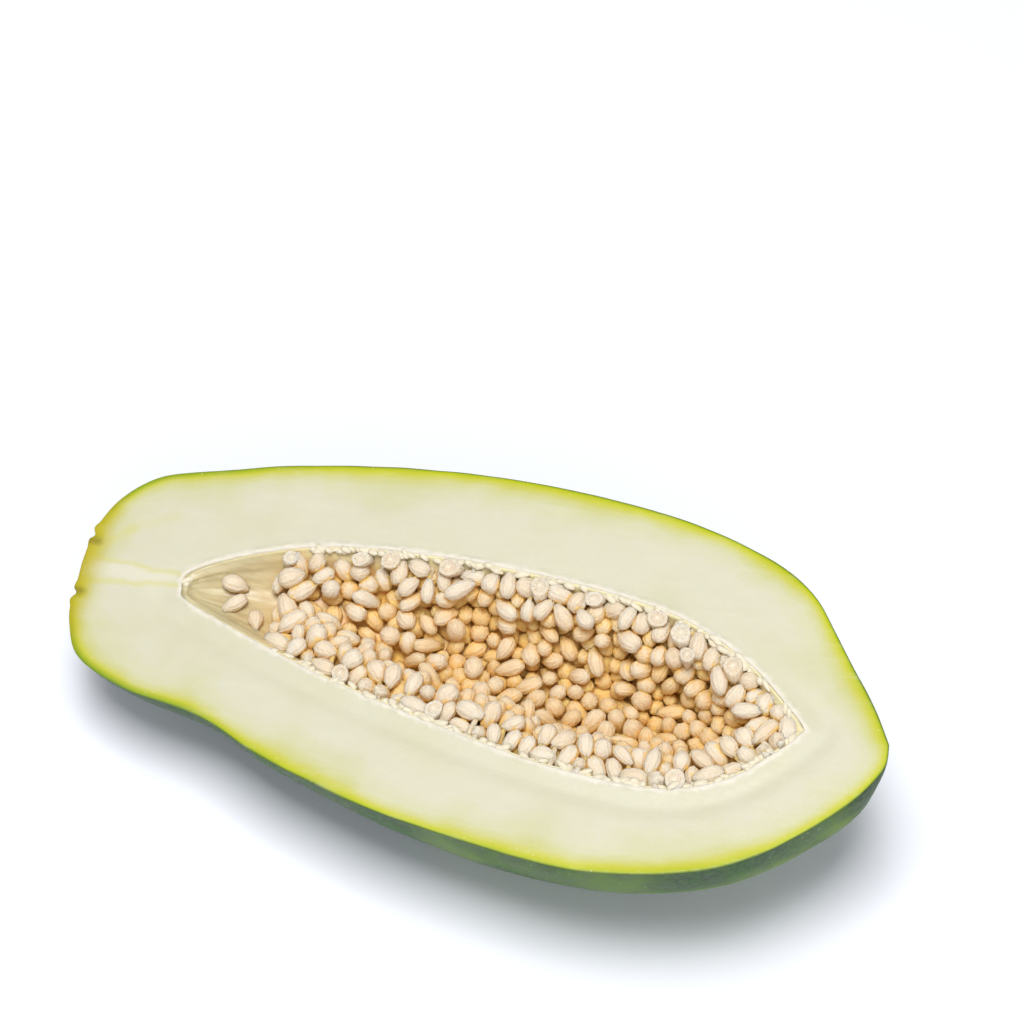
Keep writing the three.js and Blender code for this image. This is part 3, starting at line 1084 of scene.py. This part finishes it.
def grow_seed(seed):
    """One seed where it settled, as a small mesh."""
    bm = bmesh.new()
    own, tint, depth = seed_layers(bm)
    length, width = chance.uniform(*SEED_LENGTHS), chance.uniform(*SEED_WIDTHS)
    flat = chance.uniform(*SEED_FLATS)
    shade, bend = chance.random(), chance.uniform(*SEED_BENDS)
    size = Matrix.Diagonal((width / 2, width / 2 * flat, length / 2, 1))
    turn = (seed.tip - seed.base).to_track_quat("Z", "Y").to_matrix().to_4x4()
    spin = Matrix.Rotation(chance.uniform(0, 2 * math.pi), 4, "Z")
    place = Matrix.Translation((seed.base + seed.tip) / 2) @ turn @ spin @ size
    bmesh.ops.create_uvsphere(bm, u_segments=SEED_SIDES, v_segments=SEED_BANDS, radius=1.0)
    for vert in bm.verts:
        vert[own] = vert.co
        vert[tint] = shade
        narrow = 1 + TAPER * vert.co.z
        vert.co *= 1 + chance.uniform(-LUMP_SHARE, LUMP_SHARE)
        vert.co.x = vert.co.x * narrow + bend * (1 - vert.co.z ** 2)
        vert.co.y *= narrow
        if vert.co.z < POINT_START:
            vert.co.z *= POINTED
        vert.co = place @ vert.co
        # The depth under the cut face, which the coat's painted tan shade follows.
        vert[depth] = -vert.co.z / DEEP
    return bm


for seed in seeds:
    if not seed.split:
        add_copy(whole_mesh, grow_seed(seed))
print("faces in a seed:", SEED_SIDES * SEED_BANDS)

# %% [markdown]
# How hidden is each part of a seed?
#
# Moist coats pass light on to one another, and it comes out from between them a warm amber. Fifteen rays
# go up from each vertex, like spokes of an open umbrella, and the share of them that meets another seed
# soon is kept as an attribute. The coat's colour follows it from cream to amber: a painted warm shade
# where neighbours hide the coat.

# %% Measure what is hidden
RAY_TILTS = (20, 45, 68)
RAY_TURNS = 5
RAY_START, RAY_LENGTH = 0.00025, 0.011

rays = [
    Vector((
        math.sin(math.radians(tilt)) * math.cos(2 * math.pi * turn / RAY_TURNS + tilt),
        math.sin(math.radians(tilt)) * math.sin(2 * math.pi * turn / RAY_TURNS + tilt),
        math.cos(math.radians(tilt)),
    ))
    for tilt in RAY_TILTS for turn in range(RAY_TURNS)
]
whole_mesh.normal_update()
crowd = BVHTree.FromBMesh(whole_mesh)


def measure_hidden(bm):
    """Keeps the share of upward rays from each vertex that soon meet a seed."""
    bm.normal_update()
    hidden = bm.verts.layers.float["hidden"]
    for vert in bm.verts:
        start = vert.co + vert.normal * RAY_START
        met = sum(crowd.ray_cast(start, ray, RAY_LENGTH)[0] is not None for ray in rays)
        vert[hidden] = met / len(rays)


measure_hidden(whole_mesh)
shares = [vert[whole_mesh.verts.layers.float["hidden"]] for vert in whole_mesh.verts]
print("hidden share, mean and most:", round(sum(shares) / len(shares), 2), max(shares))

# %% [markdown]
# The coat of a seed
#
# The netted wrinkles are sine waves round the seed, bent by noise in the seed's own coordinates, with
# creases and pits in between, and the creases are painted a little amber, a painted shade. A seed
# further down in the hollow is painted tanner, a painted shade for the weaker light down there, mixed
# with a random tone of its own, and where neighbours hide it the coat is painted amber, a painted warm
# shade. Red light travels furthest in the coat, but on a thing as small as a seed a large difference
# drains the red out of it, so the three radii stay close together.

# %% Seed coat finish
WRINKLES, WRINKLE_STRAY = 10, 9.0
CREASES = 0.0007
COAT_STRAYS, COAT_PITS = 0.9, 0.35


def make_seed_finish():
    coat = Finish("seed_coat")
    own = coat.attribute("seed_own", "Vector")
    tint = coat.attribute("seed_tint")
    parts = coat.add("ShaderNodeSeparateXYZ", {"Vector": own}).outputs
    angle = coat.sums("ARCTAN2", parts["Y"], parts["X"])
    apart = coat.add("ShaderNodeCombineXYZ", {"X": coat.sums("MULTIPLY", tint, 40.0)}).outputs[0]
    moved = coat.vector("ADD", own, apart)
    stray = coat.sums("MULTIPLY", coat.noise(COAT_STRAYS, place=moved), WRINKLE_STRAY)
    wrinkles = coat.sums("SINE", coat.sums("ADD", coat.sums("MULTIPLY", angle, WRINKLES), stray))
    pits = coat.noise(COAT_PITS, detail=3.0, rough=0.6, place=moved)
    creases = coat.noise(CREASES, rough=0.6, warp=0.8)
    depth = coat.attribute("seed_depth")
    pale = coat.blend(tint, (233, 223, 205), (232, 215, 191))
    # Painted shade: seeds further down in the hollow are painted tan, mixed with each seed's random
    # tone.
    painted_tan_shade = coat.blend(tint, (236, 208, 164), (233, 200, 148))
    depth_shade_and_tone = coat.sums("ADD", depth, coat.spread(tint, 0.0, 1.0, -0.12, 0.12, smooth=False))
    colour = coat.blend(coat.spread(depth_shade_and_tone, 0.05, 0.75, 0.0, 0.85), pale, painted_tan_shade)
    # Painted shade: the low creases of the coat are painted a little amber.
    colour = coat.blend(coat.spread(creases, 0.36, 0.52, 0.25, 0.0), colour, (242, 206, 146))
    # Painted warm shade: the coat is painted amber where neighbouring seeds hide it.
    painted_gap_shade = coat.spread(coat.attribute("hidden"), 0.1, 0.8)
    colour = coat.blend(painted_gap_shade, colour, (251, 208, 130))
    ridged = coat.bump(creases, 0.0007, 0.5, coat.bump(wrinkles, 0.00018, 0.45))
    coat.surface(
        Base_Color=colour, Roughness=coat.rough(pits, 0.42, 0.58),
        Subsurface_Weight=0.7, Subsurface_Scale=0.0025, Subsurface_Radius=(1.0, 0.88, 0.7),
        Specular_IOR_Level=0.3, Normal=coat.bump(pits, 0.0003, 0.5, ridged),
    )
    return coat.material


seed_coat = make_seed_finish()
whole = make_object("whole_seeds", whole_mesh, [seed_coat])
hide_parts("seed_bed")

# %% [markdown]
# Inside a split seed
#
# The knife leaves a flat disc: a ring of coat, a thin groove and a kernel. Each split seed is cut by
# bisect_plane like the fruit itself, and its open edge is closed by one face. That face is extruded
# a few times, each time smaller and a little higher or lower, and the lower step is the groove.

# %% Make the split seeds
SPLIT_TOP = 0.0002
RING_STEPS = ((0.93, 0.00015), (0.62, -0.0001), (0.57, -0.0002), (0.50, 0.00015), (0.2, 0.0001))


def split_open(bm):
    """Cuts a seed at the knife's plane and closes it with a ring of coat, a groove and a kernel."""
    knife(bm, SPLIT_TOP)
    rim = open_edges(bm)
    lid = bmesh.ops.holes_fill(bm, edges=rim, sides=0)["faces"]
    for edge in rim:
        edge.smooth = False
    size = 1.0
    for share, rise in RING_STEPS:
        lid = bmesh.ops.extrude_discrete_faces(bm, faces=lid)["faces"]
        centre = lid[0].calc_center_median()
        around = Matrix.Translation(-centre)
        bmesh.ops.scale(bm, vec=(share / size, share / size, 1.0), space=around, verts=lid[0].verts)
        bmesh.ops.translate(bm, vec=(0.0, 0.0, rise), verts=lid[0].verts)
        size = share
    lid[0].material_index = 1
    return bm


split_mesh = bmesh.new()
seed_layers(split_mesh)
for seed in seeds:
    if seed.split:
        add_copy(split_mesh, split_open(grow_seed(seed)))
measure_hidden(split_mesh)
print("split seeds are closed:", not open_edges(split_mesh))

# %% [markdown]
# Kernel and pulp
#
# The kernel of a split seed and the torn pulp at the rim are both pale wet tissue with fine lumps. So
# one function makes both finishes, and each gets its own two tones and its own size of lump. They
# have no subsurface light, because on pieces this thin it would drain the red out of them.

# %% Finishes for kernel and pulp


def make_pulp_finish(name, size, detail, dark, light, roughness, rise):
    """Pale wet tissue of two tones, lumpy at one size."""
    pulp = Finish(name)
    lumps = pulp.noise(size, detail=detail)
    pulp.surface(
        Base_Color=pulp.blend(lumps, dark, light), Roughness=pulp.rough(lumps, *roughness),
        Normal=pulp.bump(lumps, rise, 0.4),
    )
    return pulp.material


kernel_finish = make_pulp_finish(
    "split_kernel", size=0.0009, detail=3.0, dark=(236, 214, 186), light=(246, 232, 208),
    roughness=(0.35, 0.5), rise=0.0001,
)
pulp_finish = make_pulp_finish(
    "rim_pulp", size=0.0012, detail=2.0, dark=(224, 214, 184), light=(231, 224, 204),
    roughness=(0.4, 0.55), rise=0.0003,
)
print("finishes for wet tissue:", kernel_finish.name, "and", pulp_finish.name)

# %% Finish the split seeds
split = make_object("split_seeds", split_mesh, [seed_coat, kernel_finish])
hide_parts("seed_bed")

# %% [markdown]
# Stalks
#
# A short soft stalk ties each seed to the lining. It is a small cone, divided in three so that it can
# bend, and its two ends are sunk into the seed and the wall.

# %% Make the stalks
STALK_SIDES = 6
STALK_FOOT, STALK_TOP = 0.0011, 0.0006
STALK_CUTS, STALK_BEND = 2, 0.0007
STALK_SINK = 0.45
SHORTEST_STALK = 0.0012


def grow_stalk(end, foot):
    """A tapered stalk from its foot to its end, as a small mesh."""
    bm = bmesh.new()
    own, tint, depth = seed_layers(bm)
    gap = end - foot
    bmesh.ops.create_cone(
        bm, cap_ends=True, segments=STALK_SIDES, radius1=STALK_FOOT, radius2=STALK_TOP, depth=1.0
    )
    uprights = [edge for edge in bm.edges if abs(edge.verts[0].co.z - edge.verts[1].co.z) > 0.5]
    bmesh.ops.subdivide_edges(bm, edges=uprights, cuts=STALK_CUTS)
    bend = Vector((chance.uniform(-1, 1), chance.uniform(-1, 1), 0)) * STALK_BEND
    turn = gap.to_track_quat("Z", "Y").to_matrix()
    shade = chance.random()
    for vert in bm.verts:
        vert[own] = vert.co
        vert[tint] = shade
        rise = vert.co.z + 0.5
        spot = Vector((vert.co.x, vert.co.y, rise * gap.length)) + bend * math.sin(math.pi * rise)
        vert.co = foot + turn @ spot
        vert[depth] = -vert.co.z / DEEP
    return bm


stalk_mesh = bmesh.new()
seed_layers(stalk_mesh)
for seed in seeds:
    along = (seed.tip - seed.base).normalized()
    end = (seed.base + seed.tip) / 2 - along * SEED_LENGTHS[0] * STALK_SINK
    foot = walls.find_nearest(end)[0]
    if (end - foot).length > SHORTEST_STALK:
        add_copy(stalk_mesh, grow_stalk(end, foot))
measure_hidden(stalk_mesh)
stalks = make_object("seed_stalks", stalk_mesh, [seed_coat])
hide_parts("seed_bed")

# %% [markdown]
# Soft pulp at the rim
#
# Where the knife pulled at the soft lining, pale lumps and flaps of it stay between the rim and the
# seeds. Each is a small sphere, squeezed and turned, with one side sunk in the flesh. Left out, the
# rim would be one clean line, and a cut papaya never has that.

# %% Make the flaps
FLAPS_EACH = 85
FLAP_LENGTHS, FLAP_WIDTHS, FLAP_FLAT = (0.0020, 0.0046), (0.0014, 0.0024), 0.7
FLAP_PLACES = (0.0, 0.0014)
FLAP_DEPTHS = (0.0001, 0.0012)
FLAP_TURNS, FLAP_TILTS, FLAP_LUMPS = (-0.5, 0.9), (-0.5, 0.1), (0.85, 1.15)
FLAP_SIDES, FLAP_BANDS = 8, 5
FIRST_FLAP, LAST_FLAP = 0.17, 0.985
NUB_SHARES = (0.012, 0.018, 0.024)


def grow_flap(rim, share):
    """One lump of pulp on the rim, as a small mesh."""
    bm = bmesh.new()
    point, ahead, inwards = into_hollow(rim, share)
    middle = point + inwards * chance.uniform(*FLAP_PLACES)
    along = Vector((*(ahead + inwards * chance.uniform(*FLAP_TURNS)), chance.uniform(*FLAP_TILTS)))
    width = chance.uniform(*FLAP_WIDTHS)
    size = Matrix.Diagonal((width / 2, width / 2 * FLAP_FLAT, chance.uniform(*FLAP_LENGTHS) / 2, 1))
    place = Matrix.Translation((*middle, -chance.uniform(*FLAP_DEPTHS)))
    place @= along.to_track_quat("Z", "Y").to_matrix().to_4x4() @ size
    bmesh.ops.create_uvsphere(bm, u_segments=FLAP_SIDES, v_segments=FLAP_BANDS, radius=1.0)
    for vert in bm.verts:
        vert.co = place @ (vert.co * chance.uniform(*FLAP_LUMPS))
    return bm


flap_mesh = bmesh.new()
for rim in (back_rim, front_rim):
    for _ in range(FLAPS_EACH):
        add_copy(flap_mesh, grow_flap(rim, chance.uniform(FIRST_FLAP, LAST_FLAP)))
for share in NUB_SHARES:
    add_copy(flap_mesh, grow_flap(back_rim, share))
flaps = make_object("rim_pulp", flap_mesh, [pulp_finish])
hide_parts("seed_bed")

# %% [markdown]
# Table and light
#
# The photograph was taken on a white sweep, so the floor is one large pale plane. In it the shadow
# ends right under the edge of the fruit, which tells that the main light hangs straight above. A wide
# weak light from the front and a pale sky fill the shadow. Its cool tint comes from the paper, which is
# a trace bluer than white.

# %% Floor
FLOOR_SIZE = 8.0
FLOOR_DROP = 0.0002
PAPER_COLOUR = (243, 246, 255)

floor_mesh = bmesh.new()
bmesh.ops.create_grid(floor_mesh, x_segments=1, y_segments=1, size=FLOOR_SIZE / 2)
bmesh.ops.translate(floor_mesh, vec=(0.0, 0.0, -FLOOR_DROP), verts=floor_mesh.verts)
floor_data = bpy.data.meshes.new("floor")
floor_mesh.to_mesh(floor_data)
floor_mesh.free()
floor = bpy.data.objects.new("floor", floor_data)
bpy.context.scene.collection.objects.link(floor)
paper = Finish("white_paper")
paper.surface(Base_Color=linear(PAPER_COLOUR), Roughness=0.9)
floor.data.materials.append(paper.material)
print("floor is", FLOOR_SIZE, "m wide")

# %% Lights
TOP_POWER, FRONT_POWER, SKY_STRENGTH = 17.1, 3.6, 0.3
SKY_COLOUR = (0.95, 0.94, 1.0, 1.0)


def softbox(name, place, size, power, colour):
    """A square area light that faces the fruit."""
    light = bpy.data.lights.new(name, "AREA")
    light.size = size
    light.energy = power
    light.color = colour
    lamp = bpy.data.objects.new(name, light)
    lamp.location = place
    lamp.rotation_mode = "QUATERNION"
    lamp.rotation_quaternion = (AIM - lamp.location).to_track_quat("-Z", "Y")
    bpy.context.scene.collection.objects.link(lamp)


softbox("top_light", (-0.04, -0.05, 1.40), 0.5, TOP_POWER, (1.0, 0.985, 0.955))
softbox("front_fill", (0.6, -1.0, 0.9), 1.2, FRONT_POWER, (0.95, 0.955, 1.0))
world = bpy.data.worlds.new("pale_sky")
world.use_nodes = True
sky = world.node_tree.nodes["Background"].inputs
sky["Color"].default_value, sky["Strength"].default_value = SKY_COLOUR, SKY_STRENGTH
bpy.context.scene.world = world
bpy.context.scene.view_settings.view_transform = "Standard"
print("lights:", [item.name for item in bpy.data.lights])

# %% [markdown]
